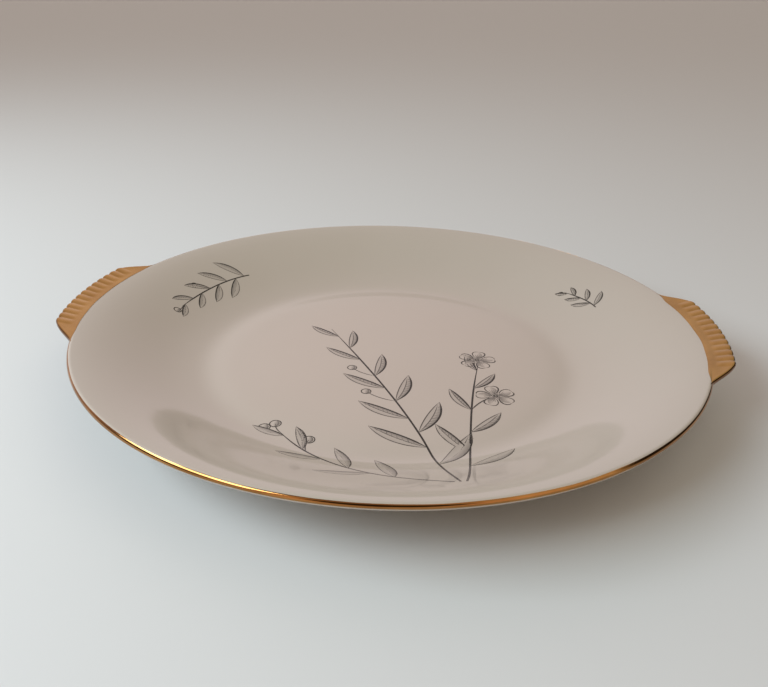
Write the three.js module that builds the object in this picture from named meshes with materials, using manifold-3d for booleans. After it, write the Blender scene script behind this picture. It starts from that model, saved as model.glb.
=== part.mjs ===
// Round porcelain cake platter: a dish on a foot ring, two ribbed ear handles on its lip, and gold on both.
// Millimetres, +Z up. The origin is on the table under the middle of the dish.
// +X runs through the right handle.
import * as THREE from "three";
import { mergeVertices } from "three/addons/utils/BufferGeometryUtils.js";
import Module from "manifold-3d";

const degrees = Math.PI / 180;

// Dish
const rimRadius = 140; // to the outermost porcelain of the lip
const rimHeight = 28.2; // from the table to the top of the lip
const floorRadius = 83; // flat part of the well
const floorThickness = 3.8;
const flangeThickness = 2.9; // also the thickness of the rounded lip
const flangeSlope = 15 * degrees; // where the flange meets the lip
const wellEase = 15; // the floor's pull on the curve of the wall
const flangeEase = 18; // the flange's pull on the same curve

// Foot ring
const footInset = 11; // from the edge of the flat floor to the middle of the ring
const footHeight = 3;
const footWidth = 4.6; // where it joins the floor
const treadWidth = 2.6; // the flat it stands on

// Ear handles
const handleReach = 7.9; // from the lip to the outer edge
const handleThickness = 2.3;
const handleEdgeRound = 0.6;
const handleSlope = 16 * degrees;
const handleTipLength = 62.4; // along the outer edge, between its rounded corners
const handleEndLength = 20.8; // along the lip, from each corner to where the ear runs out
const ribCount = 13;
const ribOverrun = 4; // how far the ribs go on round each corner
const ribMargin = 0.2; // smooth strip between the lip and the ribs
const ribRun = 2.6; // over which a rib rises from that strip
const ribHeight = 0.4; // above the top of the ear
const ribOverhang = 0.3; // how far a rib's round end stands past the outer edge

// Gold
const goldThickness = 0.15;
const goldTopAngle = 58 * degrees; // on the lip's round, from straight out towards the well
const goldUnderAngle = -6 * degrees; // on the lip's round, towards the underside

// Fits
const goldClearance = 0.05; // gold to the porcelain under it
const seatClearance = 0.15; // handle to lip
const lineEndClearance = 0.4; // gold line to handle

// Facets
const roundSegments = 72;
const wallSteps = 8;
const lipSteps = 6;
const footSteps = 3;
const endSteps = 5;
const ribSteps = 4;
const reachSteps = 3;

const lipRadius = flangeThickness / 2;
const lipCentre = new THREE.Vector2(rimRadius - lipRadius, rimHeight - lipRadius);
const footRadius = floorRadius - footInset;
const tipRadius = rimRadius + handleReach;
const tipHalfAngle = handleTipLength / 2 / tipRadius;
const rootHalfAngle = tipHalfAngle + handleEndLength / rimRadius;
const ribEnd = handleTipLength / 2 + ribOverrun;

const wasm = await Module();
wasm.setup();

// Shared shaping helpers

function toSolid(geometry) {
  const bare = new THREE.BufferGeometry();
  bare.setAttribute("position", geometry.getAttribute("position"));
  bare.setIndex(geometry.index);
  const { index, attributes } = mergeVertices(bare);
  const vertProperties = attributes.position.array;
  const triVerts = new Uint32Array(index.array);
  return new wasm.Manifold(new wasm.Mesh({ numProp: 3, vertProperties, triVerts }));
}

function toGeometry(solid) {
  const { vertProperties, triVerts } = solid.getMesh();
  const geometry = new THREE.BufferGeometry();
  geometry.setAttribute("position", new THREE.BufferAttribute(vertProperties, 3));
  geometry.setIndex(new THREE.BufferAttribute(triVerts, 1));
  geometry.computeVertexNormals();
  return geometry;
}

// A profile of (radius, height) points, walked with the material on its left, turned about +Z.
function turned(profile) {
  return new THREE.LatheGeometry(profile, roundSegments).rotateX(Math.PI / 2);
}

function closed(profile) {
  return [...profile, profile[0].clone()];
}

function lipArc(radius, start, end) {
  const arc = new THREE.EllipseCurve(lipCentre.x, lipCentre.y, radius, radius, start, end, end < start);
  return arc.getPoints(lipSteps);
}

// The radius of an arc round the lip whose flats, not its corners, keep the clearance
function clearOfLip(clearance, sweep) {
  return (lipRadius + clearance) / Math.cos(sweep / lipSteps / 2);
}

function polar(radius, angle) {
  return new THREE.Vector2(radius * Math.cos(angle), radius * Math.sin(angle));
}

// Dish

function dishGeometry() {
  const outwards = polar(1, flangeSlope);
  const upwards = polar(1, flangeSlope + Math.PI / 2);
  const floorTop = footHeight + floorThickness;
  const lipTop = lipCentre.clone().addScaledVector(upwards, lipRadius);
  const lipUnder = lipCentre.clone().addScaledVector(upwards, -lipRadius);
  const underside = new THREE.CubicBezierCurve(
    new THREE.Vector2(floorRadius, footHeight),
    new THREE.Vector2(floorRadius + wellEase + floorThickness, footHeight),
    lipUnder.clone().addScaledVector(outwards, -flangeEase),
    lipUnder,
  );
  const inside = new THREE.CubicBezierCurve(
    lipTop,
    lipTop.clone().addScaledVector(outwards, -flangeEase),
    new THREE.Vector2(floorRadius + wellEase, floorTop),
    new THREE.Vector2(floorRadius, floorTop),
  );
  const lip = lipArc(lipRadius, flangeSlope - Math.PI / 2, flangeSlope + Math.PI / 2);
  return turned([
    new THREE.Vector2(0, footHeight),
    ...underside.getPoints(wallSteps),
    ...lip.slice(1, -1),
    ...inside.getPoints(wallSteps),
    new THREE.Vector2(0, floorTop),
  ]);
}

// Foot ring

function footGeometry() {
  const side = (sign) =>
    new THREE.QuadraticBezierCurve(
      new THREE.Vector2(footRadius + (sign * treadWidth) / 2, 0),
      new THREE.Vector2(footRadius + (sign * footWidth) / 2, 0),
      new THREE.Vector2(footRadius + (sign * footWidth) / 2, footHeight),
    ).getPoints(footSteps);
  return turned(closed([...side(-1).reverse(), ...side(1)]));
}

// Gold line on the lip, from handle to handle past the back

function rimLineGeometry() {
  const inner = clearOfLip(goldClearance, goldTopAngle - goldUnderAngle);
  const band = turned(
    closed([
      ...lipArc(inner + goldThickness, goldUnderAngle, goldTopAngle),
      ...lipArc(inner, goldTopAngle, goldUnderAngle),
    ]),
  );
  const far = 2 * rimRadius;
  const end = polar(far, rootHalfAngle + lineEndClearance / rimRadius);
  const backSector = new THREE.Shape([
    new THREE.Vector2(0, 0),
    end,
    new THREE.Vector2(end.x, far),
    new THREE.Vector2(-end.x, far),
    new THREE.Vector2(-end.x, end.y),
  ]);
  const keep = new THREE.ExtrudeGeometry(backSector, { depth: 2 * rimHeight, bevelEnabled: false });
  return toGeometry(toSolid(band).intersect(toSolid(keep)));
}

// Ear handles. The ear's middle surface leaves the lip's centre at handleSlope, all the way round.

function earHeight(radius) {
  return lipCentre.y + (radius - lipCentre.x) * Math.tan(handleSlope);
}

// The outer edge: an arc with an ogee at each end that dives into the lip
function earEdge(angle) {
  const turn = THREE.MathUtils.smoothstep(rootHalfAngle - Math.abs(angle), 0, rootHalfAngle - tipHalfAngle);
  return THREE.MathUtils.lerp(lipCentre.x + lipRadius / 2, tipRadius, turn);
}

// Distance along the outer edge, counted over one smooth end, the ribs and the other smooth end
function alongEar(station) {
  const ribStations = ribCount * ribSteps;
  const end = rootHalfAngle * tipRadius;
  if (station < endSteps) {
    return THREE.MathUtils.lerp(end, ribEnd, station / endSteps);
  }
  if (station > endSteps + ribStations) {
    return THREE.MathUtils.lerp(-ribEnd, -end, (station - endSteps - ribStations) / endSteps);
  }
  return THREE.MathUtils.lerp(ribEnd, -ribEnd, (station - endSteps) / ribStations);
}

// A rib's share of its full height: a row of low round lobes between the smooth ends
function ribCrest(along) {
  const turns = (ribCount * (along + ribEnd)) / (2 * ribEnd);
  return Math.abs(along) < ribEnd ? Math.abs(Math.sin(Math.PI * turns)) : 0;
}

// The ear's section from the lip's centre to the outer edge, carried along the ear and bent round the dish.
// It grows by grow on top and at its edges. underAt gives its underside, from the ear's middle surface.
function earSolid(grow, underAt) {
  const reach = Array.from({ length: reachSteps + 1 }, (_, i) => i / reachSteps);
  const under = reach.map((out) => new THREE.Vector2(out, 0));
  const over = reach.map((out) => new THREE.Vector2(out, 1)).reverse();
  const stations = 2 * endSteps + ribCount * ribSteps;
  const ear = new THREE.ExtrudeGeometry(new THREE.Shape([...under, ...over]), {
    depth: stations,
    steps: stations,
    bevelEnabled: false,
  });
  const position = ear.getAttribute("position");
  const ribStart = rimRadius + ribMargin;
  const spread = 1 + grow / (rootHalfAngle * rimRadius);
  for (let i = 0; i < position.count; i += 1) {
    const out = position.getX(i);
    const isEdge = out === 1;
    const isTop = position.getY(i) === 1;
    const along = alongEar(Math.round(position.getZ(i)));
    const angle = along / tipRadius;
    const crest = isTop ? ribCrest(along) : 0;
    const inner = lipCentre.x + grow;
    const outer = earEdge(angle) + grow;
    const radius = THREE.MathUtils.lerp(inner, outer, out) + (isEdge ? ribOverhang * crest : 0);
    const rib = ribHeight * crest * THREE.MathUtils.smoothstep(radius, ribStart, ribStart + ribRun);
    const top = handleThickness / 2 + grow + rib - (isEdge ? handleEdgeRound : 0);
    const place = polar(radius, angle * spread);
    position.setXYZ(i, place.x, place.y, earHeight(radius) + (isTop ? top : underAt(isEdge)));
  }
  return toSolid(ear);
}

function earUnder(isEdge) {
  return (isEdge ? handleEdgeRound : 0) - handleThickness / 2;
}

// The space that the lip takes out of an ear
function lipSpace() {
  const radius = clearOfLip(seatClearance, Math.PI);
  const outerHalf = lipArc(radius, -Math.PI / 2, Math.PI / 2);
  const innerHalf = lipArc(radius, Math.PI / 2, (3 * Math.PI) / 2);
  return toSolid(turned([...outerHalf, ...innerHalf.slice(1)]));
}

function handleGeometry() {
  return toGeometry(earSolid(0, earUnder).subtract(lipSpace()));
}

// The gold ends where the ear's lower edge starts to round, so the underside stays bare
function gildingGeometry() {
  const outside = earSolid(goldClearance + goldThickness, () => handleEdgeRound - handleThickness / 2);
  const inside = earSolid(goldClearance, (isEdge) => earUnder(isEdge) - goldClearance);
  return toGeometry(outside.subtract(inside).subtract(lipSpace()));
}

// Platter

const glaze = new THREE.MeshStandardMaterial({ color: "#d6ccba", roughness: 0.15, metalness: 0 });
const biscuit = new THREE.MeshStandardMaterial({ color: "#d9d0c0", roughness: 0.7, metalness: 0 });
const satinGold = new THREE.MeshStandardMaterial({ color: "#b98a55", roughness: 0.35, metalness: 1 });
const brightGold = new THREE.MeshStandardMaterial({ color: "#b07c3e", roughness: 0.15, metalness: 1 });

const platter = new THREE.Group();

function addPiece(name, geometry, material, turn = 0) {
  const piece = new THREE.Mesh(geometry, material);
  piece.name = name;
  piece.rotation.z = turn;
  platter.add(piece);
}

addPiece("dish_body", dishGeometry(), glaze);
addPiece("foot_ring", footGeometry(), biscuit);

const handle = handleGeometry();
addPiece("handle_right", handle, glaze);
addPiece("handle_left", handle, glaze, Math.PI);

const gilding = gildingGeometry();
addPiece("handle_gilding_right", gilding, satinGold);
addPiece("handle_gilding_left", gilding, satinGold, Math.PI);

const rimLine = rimLineGeometry();
addPiece("rim_line_back", rimLine, brightGold);
addPiece("rim_line_front", rimLine, brightGold, Math.PI);

export default platter;
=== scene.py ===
import math
import random

import bmesh
import bpy
from mathutils import Matrix, Vector, noise
from mathutils.geometry import interpolate_bezier


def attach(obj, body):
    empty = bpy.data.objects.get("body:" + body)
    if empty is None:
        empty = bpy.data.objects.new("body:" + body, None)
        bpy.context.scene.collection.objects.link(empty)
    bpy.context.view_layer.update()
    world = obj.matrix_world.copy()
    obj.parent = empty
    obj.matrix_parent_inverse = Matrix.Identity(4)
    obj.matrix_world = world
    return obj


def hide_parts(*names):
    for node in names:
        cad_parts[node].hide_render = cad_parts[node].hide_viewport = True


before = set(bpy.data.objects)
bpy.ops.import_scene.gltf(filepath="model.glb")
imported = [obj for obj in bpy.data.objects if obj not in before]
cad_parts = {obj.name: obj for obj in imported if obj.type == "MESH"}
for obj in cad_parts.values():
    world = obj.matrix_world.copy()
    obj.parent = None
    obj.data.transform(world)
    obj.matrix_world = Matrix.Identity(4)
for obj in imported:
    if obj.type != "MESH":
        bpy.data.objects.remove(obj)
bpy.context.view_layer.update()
scene = bpy.context.scene
scene.view_settings.view_transform = "Standard"
print("frame loaded,", len(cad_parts), "nodes")

mm = 0.001
mergeGap = 0.001 * mm


# small helpers for every piece

def smoothStep(low, high, value):
    share = min(1.0, max(0.0, (value - low) / (high - low)))
    return share * share * (3 - 2 * share)


def mix(a, b, share):
    return a + (b - a) * share


def onCircle(radius, angle, height):
    return Vector((radius * math.cos(angle), radius * math.sin(angle), height))


def wander(seed, angle, turns):
    # even noise round a circle, the same at both ends
    return noise.noise(Vector((turns * math.cos(angle), turns * math.sin(angle), seed)))


def makePiece(name, bm, material, nodes=(), sharpAngle=40):
    mesh = bpy.data.meshes.new(name)
    bm.to_mesh(mesh)
    bm.free()
    mesh.shade_smooth()
    mesh.set_sharp_from_angle(angle=math.radians(sharpAngle))
    mesh.materials.append(material)
    piece = bpy.data.objects.new(name, mesh)
    scene.collection.objects.link(piece)
    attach(piece, "root")
    for node in nodes:
        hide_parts(node)
    print("made", name, len(mesh.polygons), "faces")
    return piece


# node helpers for the finishes

def startMaterial(name):
    material = bpy.data.materials.new(name)
    material.use_nodes = True
    tree = material.node_tree
    return material, tree, tree.nodes["Principled BSDF"]


def addNode(tree, kind, inputs=None, **settings):
    node = tree.nodes.new(kind)
    for key, value in settings.items():
        setattr(node, key, value)
    for key, value in (inputs or {}).items():
        if isinstance(value, bpy.types.NodeSocket):
            tree.links.new(value, node.inputs[key])
        else:
            node.inputs[key].default_value = value
    return node


def objectNoise(tree, scale, detail=3.0):
    coords = addNode(tree, "ShaderNodeTexCoord")
    return addNode(tree, "ShaderNodeTexNoise", {
        "Vector": coords.outputs["Object"], "Scale": scale, "Detail": detail,
    }).outputs["Fac"]


def spread(tree, value, low, high):
    # noise gathers round one half, so the middle of its range is stretched over low to high
    return addNode(tree, "ShaderNodeMapRange", {
        "Value": value, "From Min": 0.3, "From Max": 0.7, "To Min": low, "To Max": high,
    }).outputs["Result"]


def blendColour(tree, share, a, b):
    node = addNode(tree, "ShaderNodeMix", data_type="RGBA")
    for index, value in ((0, share), (6, a), (7, b)):
        if isinstance(value, bpy.types.NodeSocket):
            tree.links.new(value, node.inputs[index])
        else:
            node.inputs[index].default_value = value
    return node.outputs[2]


def bumpFrom(tree, shader, height, strength, distance):
    bump = addNode(tree, "ShaderNodeBump", {"Height": height, "Strength": strength, "Distance": distance})
    tree.links.new(bump.outputs["Normal"], shader.inputs["Normal"])


# finishes

glazeLook = {
    "well": (0.495, 0.408, 0.35, 1),
    "flange": (0.46, 0.402, 0.341, 1),
    "tintFrom": 40 * mm,
    "tintTo": 125 * mm,
    "mottle": 0.05,
    "mottleScale": 24,
    "shade": (0.34, 0.27, 0.20, 1),
    "roughness": (0.05, 0.09),
    "roughnessScale": 60,
    "ior": 1.52,
    "rippleScale": 130,
    "rippleStrength": 0.05,
    "rippleHeight": 0.4 * mm,
}


def glazeColour(tree):
    # the well is a little pinker than the flange
    coords = addNode(tree, "ShaderNodeTexCoord")
    flat = addNode(tree, "ShaderNodeVectorMath", {
        0: coords.outputs["Object"], 1: (1, 1, 0),
    }, operation="MULTIPLY")
    reach = addNode(tree, "ShaderNodeVectorMath", {0: flat.outputs["Vector"]}, operation="LENGTH")
    outward = addNode(tree, "ShaderNodeMapRange", {
        "Value": reach.outputs["Value"], "From Min": glazeLook["tintFrom"], "From Max": glazeLook["tintTo"],
    }, interpolation_type="SMOOTHSTEP")
    base = blendColour(tree, outward.outputs["Result"], glazeLook["well"], glazeLook["flange"])
    clouds = spread(tree, objectNoise(tree, glazeLook["mottleScale"]), 0.0, glazeLook["mottle"])
    return blendColour(tree, clouds, base, glazeLook["shade"])


def glazeSurface(tree, shader):
    rough = spread(tree, objectNoise(tree, glazeLook["roughnessScale"]), *glazeLook["roughness"])
    tree.links.new(rough, shader.inputs["Roughness"])
    shader.inputs["IOR"].default_value = glazeLook["ior"]
    ripple = objectNoise(tree, glazeLook["rippleScale"], 2.0)
    bumpFrom(tree, shader, ripple, glazeLook["rippleStrength"], glazeLook["rippleHeight"])


def makeGlaze():
    material, tree, shader = startMaterial("ivory_glaze")
    tree.links.new(glazeColour(tree), shader.inputs["Base Color"])
    glazeSurface(tree, shader)
    return material


inkLook = {
    "line": (0.013, 0.010, 0.008, 1),
    "grain": (0.92, 1.0),
    "grainScale": 2600,
    "shine": (0.5, 0.15),
}


def makeInk():
    # fired on the glaze, which it dulls where it lies thick
    material, tree, shader = startMaterial("charcoal_print")
    depth = addNode(tree, "ShaderNodeAttribute", attribute_name="inkDepth")
    grain = spread(tree, objectNoise(tree, inkLook["grainScale"], 2.0), *inkLook["grain"])
    share = addNode(tree, "ShaderNodeMath", {0: depth.outputs["Fac"], 1: grain}, operation="MULTIPLY")
    colour = blendColour(tree, share.outputs["Value"], glazeColour(tree), inkLook["line"])
    tree.links.new(colour, shader.inputs["Base Color"])
    glazeSurface(tree, shader)
    shine = addNode(tree, "ShaderNodeMapRange", {
        "Value": share.outputs["Value"], "To Min": inkLook["shine"][0], "To Max": inkLook["shine"][1],
    })
    tree.links.new(shine.outputs["Result"], shader.inputs["Specular IOR Level"])
    return material


satinLook = {
    "gold": (0.47, 0.275, 0.083, 1),
    "deep": (0.38, 0.21, 0.059, 1),
    "patchScale": 90,
    "roughness": (0.16, 0.24),
    "roughnessScale": 240,
    # the edge colour is a painted dark reflection on the ears' outer edge
    "edge": (0.20, 0.088, 0.028, 1),
    "edgeRoughness": 0.09,
    "grainScale": 700,
    "grainStrength": 0.05,
    "grainHeight": 0.1 * mm,
}


def makeSatinGold():
    # darker round the outer edge, a painted dark reflection, where the gold is also more polished
    material, tree, shader = startMaterial("satin_gold")
    edge = addNode(tree, "ShaderNodeAttribute", attribute_name="edgeDarkReflectionAndPolish").outputs["Fac"]
    patches = spread(tree, objectNoise(tree, satinLook["patchScale"], 4.0), 0.0, 1.0)
    top = blendColour(tree, patches, satinLook["gold"], satinLook["deep"])
    tree.links.new(blendColour(tree, edge, top, satinLook["edge"]), shader.inputs["Base Color"])
    topRough = spread(tree, objectNoise(tree, satinLook["roughnessScale"]), *satinLook["roughness"])
    rough = addNode(tree, "ShaderNodeMapRange", {
        "Value": edge, "To Min": topRough, "To Max": satinLook["edgeRoughness"],
    })
    tree.links.new(rough.outputs["Result"], shader.inputs["Roughness"])
    shader.inputs["Metallic"].default_value = 1.0
    grain = objectNoise(tree, satinLook["grainScale"], 2.0)
    bumpFrom(tree, shader, grain, satinLook["grainStrength"], satinLook["grainHeight"])
    return material


brightLook = {
    "gold": (0.46, 0.225, 0.075, 1),
    "deep": (0.26, 0.115, 0.036, 1),
    "patchScale": 45,
    "roughness": (0.03, 0.09),
    "roughnessScale": 160,
    "brushScale": 420,
    "brushStrength": 0.06,
    "brushHeight": 0.2 * mm,
}


def makeBrightGold():
    material, tree, shader = startMaterial("bright_gold")
    patches = spread(tree, objectNoise(tree, brightLook["patchScale"], 4.0), 0.0, 1.0)
    colour = blendColour(tree, patches, brightLook["gold"], brightLook["deep"])
    tree.links.new(colour, shader.inputs["Base Color"])
    rough = spread(tree, objectNoise(tree, brightLook["roughnessScale"]), *brightLook["roughness"])
    tree.links.new(rough, shader.inputs["Roughness"])
    shader.inputs["Metallic"].default_value = 1.0
    brush = objectNoise(tree, brightLook["brushScale"], 2.0)
    bumpFrom(tree, shader, brush, brightLook["brushStrength"], brightLook["brushHeight"])
    return material


biscuitLook = {
    "clay": (0.62, 0.56, 0.48, 1),
    "worn": (0.42, 0.38, 0.33, 1),
    "wear": 0.8,
    "wearScale": 70,
    "roughness": (0.55, 0.8),
    "roughnessScale": 300,
    "grainScale": 900,
    "grainStrength": 0.2,
    "grainHeight": 0.2 * mm,
}


def makeBiscuit():
    material, tree, shader = startMaterial("ground_biscuit")
    rubbed = spread(tree, objectNoise(tree, biscuitLook["wearScale"], 5.0), 0.0, biscuitLook["wear"])
    colour = blendColour(tree, rubbed, biscuitLook["clay"], biscuitLook["worn"])
    tree.links.new(colour, shader.inputs["Base Color"])
    rough = spread(tree, objectNoise(tree, biscuitLook["roughnessScale"]), *biscuitLook["roughness"])
    tree.links.new(rough, shader.inputs["Roughness"])
    grain = objectNoise(tree, biscuitLook["grainScale"], 4.0)
    bumpFrom(tree, shader, grain, biscuitLook["grainStrength"], biscuitLook["grainHeight"])
    return material


ivoryGlaze = makeGlaze()
charcoalPrint = makeInk()
satinGold = makeSatinGold()
brightGold = makeBrightGold()
groundBiscuit = makeBiscuit()
print("finishes ready")


# the dish, one profile spun about the middle

dish = {
    "rimRadius": 140 * mm,
    "rimHeight": 28.2 * mm,
    "floorRadius": 83 * mm,
    "floorThickness": 3.8 * mm,
    "flangeThickness": 2.9 * mm,
    "flangeSlope": math.radians(15),
    "wellEase": 15 * mm,
    "flangeEase": 18 * mm,
    "creaseEase": 3 * mm,
    "easeStart": 0.85,
    "easeFadeFrom": 1.15,
    "easeFadeTo": 1.45,
    "ringDepth": 0.42 * mm,
    "ringFrom": 73 * mm,
    "ringMiddle": 83 * mm,
    "ringTo": 94 * mm,
    "wallPoints": 56,
    "insidePoints": 160,
    "lipPoints": 22,
    "floorRings": 5,
    "turnSteps": 288,
}
foot = {
    "inset": 11 * mm,
    "height": 3 * mm,
    "width": 4.6 * mm,
    "tread": 2.6 * mm,
    "roundPull": 0.67,
    "sidePoints": 10,
}
lipRadius = dish["flangeThickness"] / 2
lipCentre = Vector((dish["rimRadius"] - lipRadius, 0, dish["rimHeight"] - lipRadius))
floorTop = foot["height"] + dish["floorThickness"]


def lipPoint(radius, angle):
    return lipCentre + Vector((radius * math.cos(angle), 0, radius * math.sin(angle)))


def wallCurve(start, startPull, endPull, end):
    return interpolate_bezier(start, startPull, endPull, end, dish["wallPoints"])


slopeOut = Vector((math.cos(dish["flangeSlope"]), 0, math.sin(dish["flangeSlope"])))
lipTop = lipPoint(lipRadius, dish["flangeSlope"] + math.pi / 2)
lipUnder = lipPoint(lipRadius, dish["flangeSlope"] - math.pi / 2)
insideCurve = wallCurve(
    Vector((dish["floorRadius"], 0, floorTop)),
    Vector((dish["floorRadius"] + dish["wellEase"], 0, floorTop)),
    lipTop - slopeOut * dish["flangeEase"],
    lipTop,
)
underCurve = wallCurve(
    Vector((dish["floorRadius"], 0, foot["height"])),
    Vector((dish["floorRadius"] + dish["wellEase"] + dish["floorThickness"], 0, foot["height"])),
    lipUnder - slopeOut * dish["flangeEase"],
    lipUnder,
)


def floorLine(height):
    rings = dish["floorRings"]
    return [Vector((dish["floorRadius"] * i / rings, 0, height)) for i in range(rings)]


def lipLine():
    count = dish["lipPoints"]
    start = dish["flangeSlope"] - math.pi / 2
    return [lipPoint(lipRadius, start + math.pi * i / count) for i in range(1, count)]


def ringHollow(radius):
    # the floor sinks a little where it meets the wall
    falling = smoothStep(dish["ringFrom"], dish["ringMiddle"], radius)
    rising = smoothStep(dish["ringMiddle"], dish["ringTo"], radius)
    return dish["ringDepth"] * (falling - rising)


def pressedHeight(radius):
    if radius <= dish["floorRadius"]:
        return floorTop - ringHollow(radius)
    for near, far in zip(insideCurve, insideCurve[1:]):
        if near.x <= radius <= far.x:
            return mix(near.z, far.z, (radius - near.x) / (far.x - near.x)) - ringHollow(radius)
    return lipTop.z


def easedPoint(radius):
    # glaze fills the crease round the floor, so each height is averaged over its neighbours
    outward = smoothStep(dish["easeFadeFrom"], dish["easeFadeTo"], radius / dish["floorRadius"])
    ease = dish["creaseEase"] * (1 - outward)
    heights = [pressedHeight(radius + ease * i / 3) for i in range(-3, 4)]
    return Vector((radius, 0, sum(heights) / len(heights)))


insideStep = lipTop.x / dish["insidePoints"]
insideLine = [easedPoint(insideStep * i) for i in range(dish["insidePoints"] + 1)]


def insideHeight(radius):
    # the glaze's height over the table, from the middle to the lip
    place = radius / lipTop.x * dish["insidePoints"]
    if place >= dish["insidePoints"]:
        return lipCentre.z + math.sqrt(max(0.0, lipRadius ** 2 - (radius - lipCentre.x) ** 2))
    index = int(place)
    return mix(insideLine[index].z, insideLine[index + 1].z, place - index)


def spinProfile(points, steps, isClosed=False):
    bm = bmesh.new()
    verts = [bm.verts.new(p) for p in points]
    ring = verts + verts[:1] if isClosed else verts
    edges = [bm.edges.new(pair) for pair in zip(ring, ring[1:])]
    bmesh.ops.spin(bm, geom=verts + edges, cent=(0, 0, 0), axis=(0, 0, 1), angle=math.tau,
                   steps=steps, use_merge=True)
    bmesh.ops.remove_doubles(bm, verts=bm.verts, dist=mergeGap)
    bmesh.ops.recalc_face_normals(bm, faces=bm.faces)
    return bm


wallLine = [p for p in insideLine if p.x > dish["easeStart"] * dish["floorRadius"]]
underLine = floorLine(foot["height"]) + underCurve
dishProfile = underLine + lipLine() + wallLine[::-1] + floorLine(floorTop)[::-1]
makePiece("dish", spinProfile(dishProfile, dish["turnSteps"]), ivoryGlaze, ["dish_body"])


# the foot ring

def footSide(sign):
    middle = dish["floorRadius"] - foot["inset"]
    tread = Vector((middle + sign * foot["tread"] / 2, 0, 0))
    corner = Vector((middle + sign * foot["width"] / 2, 0, 0))
    joined = Vector((middle + sign * foot["width"] / 2, 0, foot["height"]))
    treadPull = tread.lerp(corner, foot["roundPull"])
    joinedPull = joined.lerp(corner, foot["roundPull"])
    return interpolate_bezier(tread, treadPull, joinedPull, joined, foot["sidePoints"])


footProfile = footSide(-1)[::-1] + footSide(1)
footMesh = spinProfile(footProfile, dish["turnSteps"], True)
makePiece("foot", footMesh, groundBiscuit, ["foot_ring"])


# ear handles, a sheet wrapped round the ear's section and bent round the dish

ear = {
    "reach": 7.9 * mm,
    "thickness": 2.3 * mm,
    "slope": math.radians(16),
    "tipLength": 62.4 * mm,
    "endLength": 20.8 * mm,
    "ribCount": 13,
    "ribOverrun": 4 * mm,
    "ribMargin": 0.2 * mm,
    "ribRun": 2.6 * mm,
    "ribHeight": 0.28 * mm,
    "ribOverhang": 0.2 * mm,
    "ribPeak": 1.1,
    "ribFade": 0.6,
    "notchDepth": 0.34 * mm,
    "notchRun": 2.2 * mm,
    "fillRun": 5 * mm,
    "edgeRound": 0.8 * mm,
    "edgeRoundLimit": 0.45,
    "underShare": 0.35,
    "topShare": 0.65,
    "ribSteps": 18,
    "endSteps": 40,
    "roundSteps": 36,
}
earSteps = ear["ribCount"] * ear["ribSteps"] + 2 * ear["endSteps"]
tipRadius = dish["rimRadius"] + ear["reach"]
tipHalf = ear["tipLength"] / 2 / tipRadius
rootHalf = tipHalf + ear["endLength"] / dish["rimRadius"]
ribEnd = ear["tipLength"] / 2 + ear["ribOverrun"]


def earHeight(radius):
    return lipCentre.z + (radius - lipCentre.x) * math.tan(ear["slope"])


def earShare(angle):
    # 1 along the ear and 0 where it runs out into the lip
    return smoothStep(0, rootHalf - tipHalf, rootHalf - abs(angle))


def earEdge(angle):
    return mix(lipCentre.x + lipRadius / 2, tipRadius, earShare(angle))


def earAngle(place):
    # place runs from -1 to 1 along the ear, with steps that fall on every groove between the ribs
    ribShare = ear["ribCount"] * ear["ribSteps"] / earSteps
    ribHalf = ribEnd / tipRadius
    if abs(place) <= ribShare:
        return place / ribShare * ribHalf
    beyond = (abs(place) - ribShare) / (1 - ribShare)
    return math.copysign(mix(ribHalf, rootHalf, beyond), place)


def ribCrest(angle):
    along = angle * tipRadius
    if abs(along) >= ribEnd:
        return 0.0
    wave = math.sin(math.pi * ear["ribCount"] * (along + ribEnd) / (2 * ribEnd))
    return abs(wave) ** ear["ribPeak"]


def ribNotch(angle):
    # how far the groove between two ribs is cut into the outer edge
    pitch = 2 * ribEnd / ear["ribCount"]
    if abs(angle) * tipRadius > ribEnd - pitch / 2:
        return 0.0
    return ear["notchDepth"] * (1 - ribCrest(angle)) ** 2


def ribRise(radius, angle):
    start = dish["rimRadius"] + ear["ribMargin"]
    rise = ear["ribHeight"] * ribCrest(angle) * smoothStep(start, start + ear["ribRun"], radius)
    return rise - ribNotch(angle) * smoothStep(tipRadius - ear["notchRun"], tipRadius, radius)


def earTop(radius, angle):
    # the glaze fills the hollow behind the lip, so the flange runs straight out on to the ear
    top = earHeight(radius) + ear["thickness"] / 2
    hollow = lipTop.z - earHeight(lipTop.x) - ear["thickness"] / 2
    filled = hollow * earShare(angle) * (1 - smoothStep(lipTop.x, lipTop.x + ear["fillRun"], radius))
    return top + filled + ribRise(radius, angle)


def edgeRounding(edge):
    # smaller where the ear runs out into the lip
    return min(ear["edgeRound"], (edge - lipCentre.x) * ear["edgeRoundLimit"])


def edgeTurn(share):
    # which way the outer edge faces, from straight down to straight up
    roundShare = ear["topShare"] - ear["underShare"]
    return mix(-math.pi / 2, math.pi / 2, (share - ear["underShare"]) / roundShare)


def earPoint(angle, share):
    # share runs from under the lip, out along the underside, round the edge and back over the top
    edge = earEdge(angle)
    inner = lipCentre.x
    edgeRound = edgeRounding(edge)
    flat = edge - edgeRound
    half = ear["thickness"] / 2
    if share < ear["underShare"]:
        radius = mix(inner, flat, share / ear["underShare"])
        return radius, earHeight(radius) - half
    if share > ear["topShare"]:
        radius = mix(flat, inner, (share - ear["topShare"]) / (1 - ear["topShare"]))
        return radius, earTop(radius, angle)
    turn = edgeTurn(share)
    upper = smoothStep(-ear["ribFade"], ear["ribFade"], math.sin(turn))
    overhang = ear["ribOverhang"] * ribCrest(angle) - ribNotch(angle)
    radius = flat + (edgeRound + overhang) * math.cos(turn)
    lift = half * math.sin(turn) + upper * ribRise(flat, angle) * math.sin(turn)
    return radius, earHeight(radius) + lift


def placeEar(verts, side):
    for vert in verts:
        angle = earAngle(vert.co.x)
        radius, height = earPoint(angle, (vert.co.y + 1) / 2)
        vert.co = onCircle(radius, angle + side, height)


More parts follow.
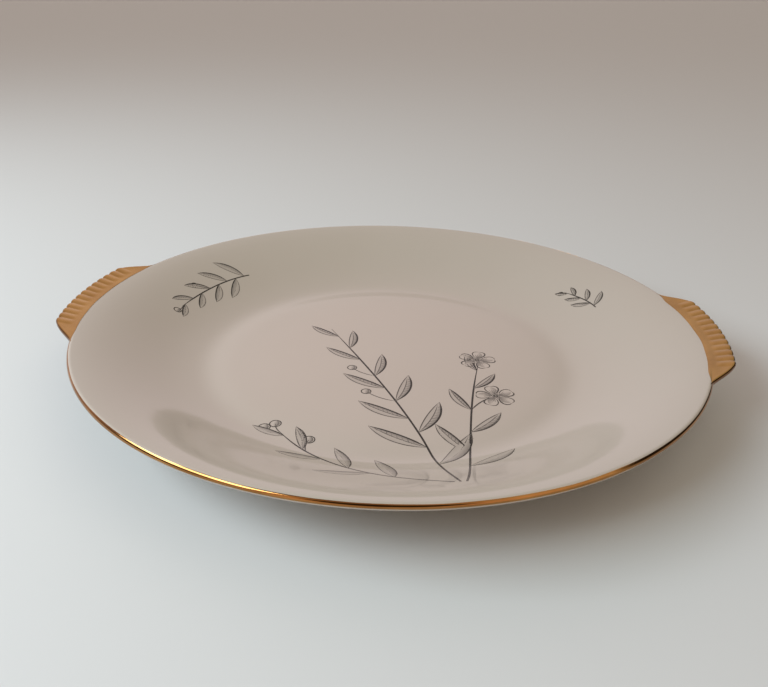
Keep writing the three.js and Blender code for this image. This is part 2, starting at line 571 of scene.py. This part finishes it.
def makeHandle(name, side, node):
    bm = bmesh.new()
    made = bmesh.ops.create_grid(bm, x_segments=earSteps, y_segments=ear["roundSteps"], size=1)
    placeEar(made["verts"], side)
    bmesh.ops.holes_fill(bm, edges=[e for e in bm.edges if e.is_boundary])
    bmesh.ops.triangulate(bm, faces=[f for f in bm.faces if len(f.verts) > 4])
    bmesh.ops.recalc_face_normals(bm, faces=bm.faces)
    return makePiece(name, bm, ivoryGlaze, [node])


makeHandle("ear_right", 0.0, "handle_right")
makeHandle("ear_left", math.pi, "handle_left")


# gold over the ears, a thin film from the lip's crest to just under the outer edge

gilding = {
    "lift": 0.05 * mm,
    "film": 0.04 * mm,
    "innerRight": 137.6 * mm,
    "innerLeft": 138.6 * mm,
    "endRadius": 139.3 * mm,
    "taperFrom": 0.8,
    "wobble": 0.25 * mm,
    "wobbleTurns": 9,
    "alongShare": 0.985,
    "leastWidth": 0.05 * mm,
    "flatShare": 0.75,
    "lastShare": 0.44,
    "edgeFrom": 0.755,
    "edgeTo": 0.85,
    "acrossSteps": 30,
}


def gildPoint(angle, share, inner):
    # share 0 is the painted edge on the lip, 1 is the lower edge of the ear
    edge = earEdge(angle)
    flat = edge - edgeRounding(edge)
    if share < gilding["flatShare"]:
        start = min(inner, flat - gilding["leastWidth"])
        radius = mix(start, flat, share / gilding["flatShare"])
        height = earTop(radius, angle)
        if radius < dish["rimRadius"]:
            height = max(height, insideHeight(radius))
        return radius, height + gilding["lift"]
    pastFlat = (share - gilding["flatShare"]) / (1 - gilding["flatShare"])
    wrap = mix(ear["topShare"], gilding["lastShare"], pastFlat)
    radius, height = earPoint(angle, wrap)
    turn = edgeTurn(wrap)
    return radius + gilding["lift"] * math.cos(turn), height + gilding["lift"] * math.sin(turn)


def makeGilding(name, side, inner, node):
    bm = bmesh.new()
    edgeLayer = bm.verts.layers.float.new("edgeDarkReflectionAndPolish")
    made = bmesh.ops.create_grid(bm, x_segments=earSteps, y_segments=gilding["acrossSteps"], size=1)
    for vert in made["verts"]:
        place = vert.co.x * gilding["alongShare"]
        angle = earAngle(place)
        painted = inner + gilding["wobble"] * wander(side, angle, gilding["wobbleTurns"])
        painted = mix(painted, gilding["endRadius"], smoothStep(gilding["taperFrom"], 1.0, abs(place)))
        share = (vert.co.y + 1) / 2
        # this share darkens the gold round the outer edge as a painted dark reflection, and lowers its
        # roughness there
        vert[edgeLayer] = smoothStep(gilding["edgeFrom"], gilding["edgeTo"], share)
        radius, height = gildPoint(angle, share, painted)
        vert.co = onCircle(radius, angle + side, height)
    bmesh.ops.recalc_face_normals(bm, faces=bm.faces)
    bmesh.ops.solidify(bm, geom=bm.faces[:], thickness=gilding["film"])
    bmesh.ops.recalc_face_normals(bm, faces=bm.faces)
    return makePiece(name, bm, satinGold, [node])


makeGilding("ear_gold_right", 0.0, gilding["innerRight"], "handle_gilding_right")
makeGilding("ear_gold_left", math.pi, gilding["innerLeft"], "handle_gilding_left")


# gold line on the outside of the lip, drawn by hand so its upper edge wanders

rimLine = {
    "upper": math.radians(58),
    "lower": math.radians(-6),
    "upperWander": math.radians(7),
    "upperTurns": 7,
    "upperSeed": 3.0,
    "lowerWander": math.radians(3.5),
    "lowerTurns": 9,
    "lowerSeed": 8.0,
    "lift": 0.03 * mm,
    "film": 0.04 * mm,
    "underEar": math.radians(3),
    "alongSteps": 420,
    "acrossSteps": 12,
}


def makeRimLine(name, side, node):
    bm = bmesh.new()
    made = bmesh.ops.create_grid(bm, x_segments=rimLine["alongSteps"],
                                 y_segments=rimLine["acrossSteps"], size=1)
    half = math.pi / 2 - rootHalf + rimLine["underEar"]
    for vert in made["verts"]:
        angle = side + vert.co.x * half
        upperWave = wander(rimLine["upperSeed"], angle, rimLine["upperTurns"])
        lowerWave = wander(rimLine["lowerSeed"], angle, rimLine["lowerTurns"])
        upper = rimLine["upper"] + rimLine["upperWander"] * upperWave
        lower = rimLine["lower"] + rimLine["lowerWander"] * lowerWave
        spot = lipPoint(lipRadius + rimLine["lift"], mix(lower, upper, (vert.co.y + 1) / 2))
        vert.co = onCircle(spot.x, angle, spot.z)
    bmesh.ops.recalc_face_normals(bm, faces=bm.faces)
    bmesh.ops.solidify(bm, geom=bm.faces[:], thickness=rimLine["film"])
    bmesh.ops.recalc_face_normals(bm, faces=bm.faces)
    return makePiece(name, bm, brightGold, [node])


makeRimLine("gold_line_back", math.pi / 2, "rim_line_back")
makeRimLine("gold_line_front", -math.pi / 2, "rim_line_front")


# printed sprays: strokes and washes laid on the glaze, with leaves, berries and small blossoms

strokeLook = {
    "lift": 0.012 * mm,
    "layer": 0.000001 * mm,
    "film": 0.01 * mm,
    "spacing": 1.1 * mm,
    "fine": 0.30 * mm,
    "plain": 0.48 * mm,
    "heavy": 0.85 * mm,
    "taper": 4,
    "leastSteps": 6,
    "firstSeed": 5,
}


def layRibbon(bm, path, widthAt, rightDepth, leftDepth):
    # path is four plan points of a curve, and each ribbon lies a hair above the one before
    depthLayer = bm.verts.layers.float["inkDepth"]
    lift = strokeLook["lift"] + strokeLook["layer"] * len(bm.faces)
    count = max(strokeLook["leastSteps"], int((path[3] - path[0]).length / strokeLook["spacing"]))
    points = interpolate_bezier(*[p.to_3d() for p in path], count + 1)
    made = bmesh.ops.create_grid(bm, x_segments=count, y_segments=1, size=1)
    for vert in made["verts"]:
        along = (vert.co.x + 1) / 2
        index = round(along * count)
        ahead = points[min(count, index + 1)] - points[max(0, index - 1)]
        left = Vector((-ahead.y, ahead.x)).normalized()
        place = points[index].to_2d() + left * (vert.co.y * 0.5 * widthAt(along))
        vert[depthLayer] = leftDepth if vert.co.y > 0 else rightDepth
        vert.co = Vector((place.x, place.y, insideHeight(place.length) + lift))


def drawStroke(bm, path, width, depth, ends=(0.15, 0.15)):
    # ends are the shares of the width at the two ends
    def widthAt(along):
        first = min(1.0, ends[0] + along * strokeLook["taper"])
        last = min(1.0, ends[1] + (1 - along) * strokeLook["taper"])
        return width * first * last
    layRibbon(bm, path, widthAt, depth, depth)


def drawWash(bm, path, width, rightDepth, leftDepth):
    # widest in the middle and pointed at both ends
    def widthAt(along):
        return width * 4 * along * (1 - along)
    layRibbon(bm, path, widthAt, rightDepth, leftDepth)


def bowed(start, end, bow):
    # a curve from start to end that bows to its left by a share of its length
    across = end - start
    left = Vector((-across.y, across.x)) * bow
    return [start, start + across / 3 + left, start + across * 2 / 3 + left, end]


def alongCurve(path, count):
    return [p.to_2d() for p in interpolate_bezier(*[p.to_3d() for p in path], count + 1)]


leafLook = {
    "washWidth": 0.75,
    "shadedSide": (0.62, 0.2),
    "lightSide": (0.12, 0.22),
    "ribSteps": 11,
    "ribReach": 0.9,
    "ribDepth": 0.8,
    "lightDepth": 0.9,
    "shadedDepth": 1.0,
    "veinLean": (0.07, 0.09),
    "veinDepth": (0.55, 0.8),
    "veinBow": 0.06,
    "veinEnds": (0.6, 0.2),
}


def drawLeaf(bm, base, tip, width, bow, rng):
    # two washes, veins on the shaded side, a rib and an outline
    along = tip - base
    left = Vector((-along.y, along.x)) / along.length
    half = width / along.length
    steps = leafLook["ribSteps"]
    washWidth = leafLook["washWidth"] * width
    drawWash(bm, bowed(base, tip, bow - half / 2), washWidth, *leafLook["shadedSide"])
    drawWash(bm, bowed(base, tip, bow + half / 2), washWidth, *leafLook["lightSide"])
    rib = alongCurve(bowed(base, tip, bow), steps)
    for i in range(2, steps - 1):
        room = washWidth * math.sin(math.pi * i / steps)
        out = rib[i] - left * room + along * mix(*leafLook["veinLean"], rng.random())
        vein = bowed(rib[i], out, leafLook["veinBow"])
        depth = mix(*leafLook["veinDepth"], rng.random())
        drawStroke(bm, vein, strokeLook["fine"], depth, leafLook["veinEnds"])
    ribTip = base.lerp(tip, leafLook["ribReach"])
    drawStroke(bm, bowed(base, ribTip, bow), strokeLook["plain"], leafLook["ribDepth"])
    drawStroke(bm, bowed(base, tip, bow + half), strokeLook["plain"], leafLook["lightDepth"])
    drawStroke(bm, bowed(base, tip, bow - half), strokeLook["heavy"], leafLook["shadedDepth"])


def drawRing(bm, centre, radius, width, depth):
    quarter = radius * 4 / 3 * math.tan(math.pi / 8)  # the pull that makes a quarter circle
    for turn in range(4):
        out = Matrix.Rotation(turn * math.pi / 2, 2) @ Vector((1, 0))
        up = Vector((-out.y, out.x))
        path = [centre + out * radius, centre + out * radius + up * quarter,
                centre + up * radius + out * quarter, centre + up * radius]
        drawStroke(bm, path, width, depth, (1, 1))


berryLook = {
    "washReach": 0.95,
    "washWidth": 0.62,
    "washBow": -0.32,
    "shadedSide": (0.85, 0.35),
    "middle": (0.4, 0.1),
    "outlineDepth": 0.95,
}


def drawBerry(bm, centre, radius):
    low = centre - Vector((0, berryLook["washReach"])) * radius
    high = centre + Vector((0, berryLook["washReach"])) * radius
    washWidth = berryLook["washWidth"] * radius
    drawWash(bm, bowed(low, high, berryLook["washBow"]), washWidth, *berryLook["shadedSide"])
    drawWash(bm, bowed(low, high, 0), washWidth, *berryLook["middle"])
    drawRing(bm, centre, radius, strokeLook["plain"], berryLook["outlineDepth"])


# reaches and widths are shares of the blossom's radius
blossomLook = {
    "petals": 5,
    "petalFrom": 0.2,
    "petalPulls": ((0.5, 0.5), (1.1, 0.45)),
    "outlineDepth": 0.95,
    "shadedStroke": 0.8,
    "washReach": 0.95,
    "washWidth": 0.34,
    "washBow": -0.12,
    "wash": (0.5, 0.12),
    "veinReach": 0.62,
    "veinSlants": (-0.2, -0.08, 0.05, 0.18),
    "veinDepth": 0.7,
    "eye": 0.1,
    "eyeDepth": 0.9,
    "eyeRing": 0.2,
    "eyeRingDepth": 0.8,
}


def drawPetal(bm, centre, radius, out):
    up = Vector((-out.y, out.x))
    start = centre + out * radius * blossomLook["petalFrom"]
    wash = bowed(centre, centre + out * radius * blossomLook["washReach"], blossomLook["washBow"])
    drawWash(bm, wash, blossomLook["washWidth"] * radius, *blossomLook["wash"])
    for slant in blossomLook["veinSlants"]:
        end = centre + out * radius * blossomLook["veinReach"] + up * slant * radius
        drawStroke(bm, bowed(start, end, 0), strokeLook["fine"], blossomLook["veinDepth"])
    shadedStroke = blossomLook["shadedStroke"] * strokeLook["heavy"]
    for sign, stroke in ((1, strokeLook["plain"]), (-1, shadedStroke)):
        pulls = [centre + (out * along + up * across * sign) * radius
                 for along, across in blossomLook["petalPulls"]]
        path = [start, *pulls, centre + out * radius]
        drawStroke(bm, path, stroke, blossomLook["outlineDepth"])


def drawBlossom(bm, centre, radius, turn):
    for i in range(blossomLook["petals"]):
        petalTurn = turn + i * math.tau / blossomLook["petals"]
        drawPetal(bm, centre, radius, Matrix.Rotation(petalTurn, 2) @ Vector((1, 0)))
    drawRing(bm, centre, radius * blossomLook["eye"], strokeLook["heavy"], blossomLook["eyeDepth"])
    drawRing(bm, centre, radius * blossomLook["eyeRing"], strokeLook["fine"], blossomLook["eyeRingDepth"])


sprig = {
    "stemSteps": 40,
    "stemDepth": 1.0,
    "stemEnds": (0.9, 0.25),
    "lastLeaf": 0.97,
    "tipLeafSize": 0.6,
    "leafLean": (50, 24),
    "leafBow": 0.07,
    "berryBow": 0.12,
    "berryDepth": 0.9,
    "blossomBow": 0.1,
    "blossomDepth": 0.95,
    "blossomStroke": 0.8,
}


def drawSprig(bm, stem, rng):
    path = [Vector(p) * mm for p in stem["path"]]
    steps = sprig["stemSteps"]
    points = alongCurve(path, steps)
    stemWidth = stem.get("stroke", 1.0) * strokeLook["heavy"]
    drawStroke(bm, path, stemWidth, sprig["stemDepth"], sprig["stemEnds"])
    for i in range(stem["leaves"]):
        share = mix(stem["from"], sprig["lastLeaf"], i / max(1, stem["leaves"] - 1))
        index = int(share * steps)
        ahead = (points[min(steps, index + 1)] - points[max(0, index - 1)]).normalized()
        sign = 1 if i % 2 else -1
        size = stem["leaf"] * mm * mix(1.0, sprig["tipLeafSize"], share)
        lean = Matrix.Rotation(sign * math.radians(mix(*sprig["leafLean"], share)), 2) @ ahead
        tip = points[index] + lean * size
        drawLeaf(bm, points[index], tip, size * stem["slim"], sprig["leafBow"] * sign, rng)
    for share, reach, turn in stem.get("berries", ()):
        here = points[int(share * steps)]
        end = here + Matrix.Rotation(math.radians(turn), 2) @ Vector((0, reach * mm))
        drawStroke(bm, bowed(here, end, sprig["berryBow"]), strokeLook["plain"], sprig["berryDepth"])
        drawBerry(bm, end, stem["berry"] * mm)
    for share, reach, turn in stem.get("blossoms", ()):
        here = points[int(share * steps)]
        end = here + Matrix.Rotation(math.radians(turn), 2) @ Vector((0, reach * mm))
        stalkWidth = sprig["blossomStroke"] * strokeLook["heavy"]
        drawStroke(bm, bowed(here, end, sprig["blossomBow"]), stalkWidth, sprig["blossomDepth"])
        drawBlossom(bm, end, stem["blossom"] * mm, math.radians(turn))


# stems in millimetres from the middle of the dish, front is -y
# berries and blossoms: share of the stem, reach in millimetres, turn in degrees
sprays = {
    "spray_well": [
        {"path": [(34, -114), (24, -70), (2, -30), (-32, 26)],
         "leaves": 10, "from": 0.22, "leaf": 31, "slim": 0.13,
         "berries": [(0.55, 15, 64), (0.72, 13, 60)], "berry": 2.1},
        {"path": [(36, -114), (40, -84), (36, -50), (42, -2)],
         "leaves": 6, "from": 0.26, "leaf": 27, "slim": 0.13,
         "blossoms": [(1.0, 4, 10), (0.68, 17, -38)], "blossom": 8.5},
        {"path": [(32, -114), (10, -106), (-14, -98), (-38, -70)],
         "leaves": 6, "from": 0.3, "leaf": 25, "slim": 0.14,
         "berries": [(0.98, 7, 30), (0.98, 8, 66), (0.8, 9, 4)], "berry": 2.3},
    ],
    "spray_flange_left": [
        {"path": [(-86, 70), (-96, 60), (-104, 44), (-108, 22)],
         "leaves": 8, "from": 0.08, "leaf": 18, "slim": 0.15,
         "berries": [(0.55, 9, 120), (0.98, 6, 170)], "berry": 1.7, "stroke": 0.8},
    ],
    "spray_flange_right": [
        {"path": [(102, 50), (100, 56), (96, 62), (89, 69)],
         "leaves": 6, "from": 0.1, "leaf": 11.5, "slim": 0.16,
         "berries": [(0.95, 4, 70)], "berry": 1.3, "stroke": 0.7},
    ],
}


def makeSpray(name, stems, seed):
    rng = random.Random(seed)
    bm = bmesh.new()
    bm.verts.layers.float.new("inkDepth")
    for stem in stems:
        drawSprig(bm, stem, rng)
    for face in bm.faces:
        if face.normal.z < 0:
            face.normal_flip()
    bmesh.ops.solidify(bm, geom=bm.faces[:], thickness=-strokeLook["film"])
    return makePiece(name, bm, charcoalPrint)


for number, (name, stems) in enumerate(sprays.items()):
    makeSpray(name, stems, number + strokeLook["firstSeed"])


# floor, light and camera

stage = {
    "floor": (0.66, 0.665, 0.66, 1),
    "floorSize": 40.0,
    "floorRoughness": 0.8,
    "floorSheen": 0.25,
    "room": (0.075, 0.07, 0.065, 1),
    "glows": [
        {"from": (-0.50, 0.84, 0.20), "fade": (0.3, 1.0), "colour": (0.98, 0.82, 0.81, 1)},
        {"from": (0.86, 0.00, 0.51), "fade": (0.2, 1.0), "colour": (0.84, 0.775, 0.645, 1)},
        {"from": (0.10, -0.98, 0.12), "fade": (0.2, 1.0), "colour": (1.04, 0.79, 0.61, 1)},
        {"from": (0.08, -0.85, 0.50), "fade": (0.87, 0.95), "colour": (0.06, 0.05, 0.04, 1)},
        {"from": (0.88, 0.40, 0.16), "fade": (0.80, 0.90), "colour": (0.05, 0.045, 0.04, 1)},
    ],
    "windowPower": 9.8,
    "windowColour": (0.78, 0.92, 1.0),
    "windowPlace": (-0.70, -0.385, 0.602),
    "windowWidth": 0.85,
    "windowHeight": 0.42,
}


def makeFloor():
    bm = bmesh.new()
    bmesh.ops.create_grid(bm, x_segments=8, y_segments=8, size=stage["floorSize"])
    mesh = bpy.data.meshes.new("floor")
    bm.to_mesh(mesh)
    bm.free()
    material, tree, shader = startMaterial("pale_floor")
    shader.inputs["Base Color"].default_value = stage["floor"]
    shader.inputs["Roughness"].default_value = stage["floorRoughness"]
    shader.inputs["Specular IOR Level"].default_value = stage["floorSheen"]
    # clear from below, so that the foot can be looked at
    side = addNode(tree, "ShaderNodeNewGeometry")
    clear = addNode(tree, "ShaderNodeBsdfTransparent")
    both = addNode(tree, "ShaderNodeMixShader", {
        0: side.outputs["Backfacing"], 1: shader.outputs[0], 2: clear.outputs[0],
    })
    tree.links.new(both.outputs[0], tree.nodes["Material Output"].inputs["Surface"])
    mesh.materials.append(material)
    floor = bpy.data.objects.new("floor", mesh)
    scene.collection.objects.link(floor)


def makeSky():
    # a dim room with three soft glows and two dark areas, each fading out from its own direction
    world = bpy.data.worlds.new("soft_room")
    scene.world = world
    world.use_nodes = True
    tree = world.node_tree
    coords = addNode(tree, "ShaderNodeTexCoord")
    colour = stage["room"]
    for glow in stage["glows"]:
        facing = addNode(tree, "ShaderNodeVectorMath", {
            0: coords.outputs["Generated"], 1: Vector(glow["from"]).normalized(),
        }, operation="DOT_PRODUCT")
        share = addNode(tree, "ShaderNodeMapRange", {
            "Value": facing.outputs["Value"], "From Min": glow["fade"][0], "From Max": glow["fade"][1],
        }, interpolation_type="SMOOTHSTEP")
        colour = blendColour(tree, share.outputs["Result"], colour, glow["colour"])
    tree.links.new(colour, tree.nodes["Background"].inputs["Color"])


def makeWindow():
    light = bpy.data.lights.new("window", "AREA")
    light.shape = "RECTANGLE"
    light.energy = stage["windowPower"]
    light.color = stage["windowColour"]
    light.size = stage["windowWidth"]
    light.size_y = stage["windowHeight"]
    lamp = bpy.data.objects.new("window", light)
    lamp.location = stage["windowPlace"]
    lamp.rotation_euler = Vector(stage["windowPlace"]).to_track_quat("Z", "Y").to_euler()
    lamp.visible_camera = False
    scene.collection.objects.link(lamp)


view = {
    "place": (26.0 * mm, -319.7 * mm, 168.9 * mm),
    "turn": math.radians(5.14),
    "pitch": math.radians(25.87),
    "roll": math.radians(1.47),
    "focalPixels": 757.0,
    "imageWidth": 768,
    "sensorWidth": 36,
    "clipStart": 10 * mm,
}


def makeCamera():
    camera = bpy.data.cameras.new("camera")
    camera.sensor_fit = "HORIZONTAL"
    camera.sensor_width = view["sensorWidth"]
    camera.lens = view["focalPixels"] / view["imageWidth"] * view["sensorWidth"]
    camera.clip_start = view["clipStart"]
    body = bpy.data.objects.new("camera", camera)
    aim = Matrix.Rotation(view["turn"], 4, "Z") @ Matrix.Rotation(math.pi / 2 - view["pitch"], 4, "X")
    body.matrix_world = Matrix.Translation(view["place"]) @ aim @ Matrix.Rotation(view["roll"], 4, "Z")
    scene.collection.objects.link(body)
    scene.camera = body


makeFloor()
makeSky()
makeWindow()
makeCamera()
print("stage ready")
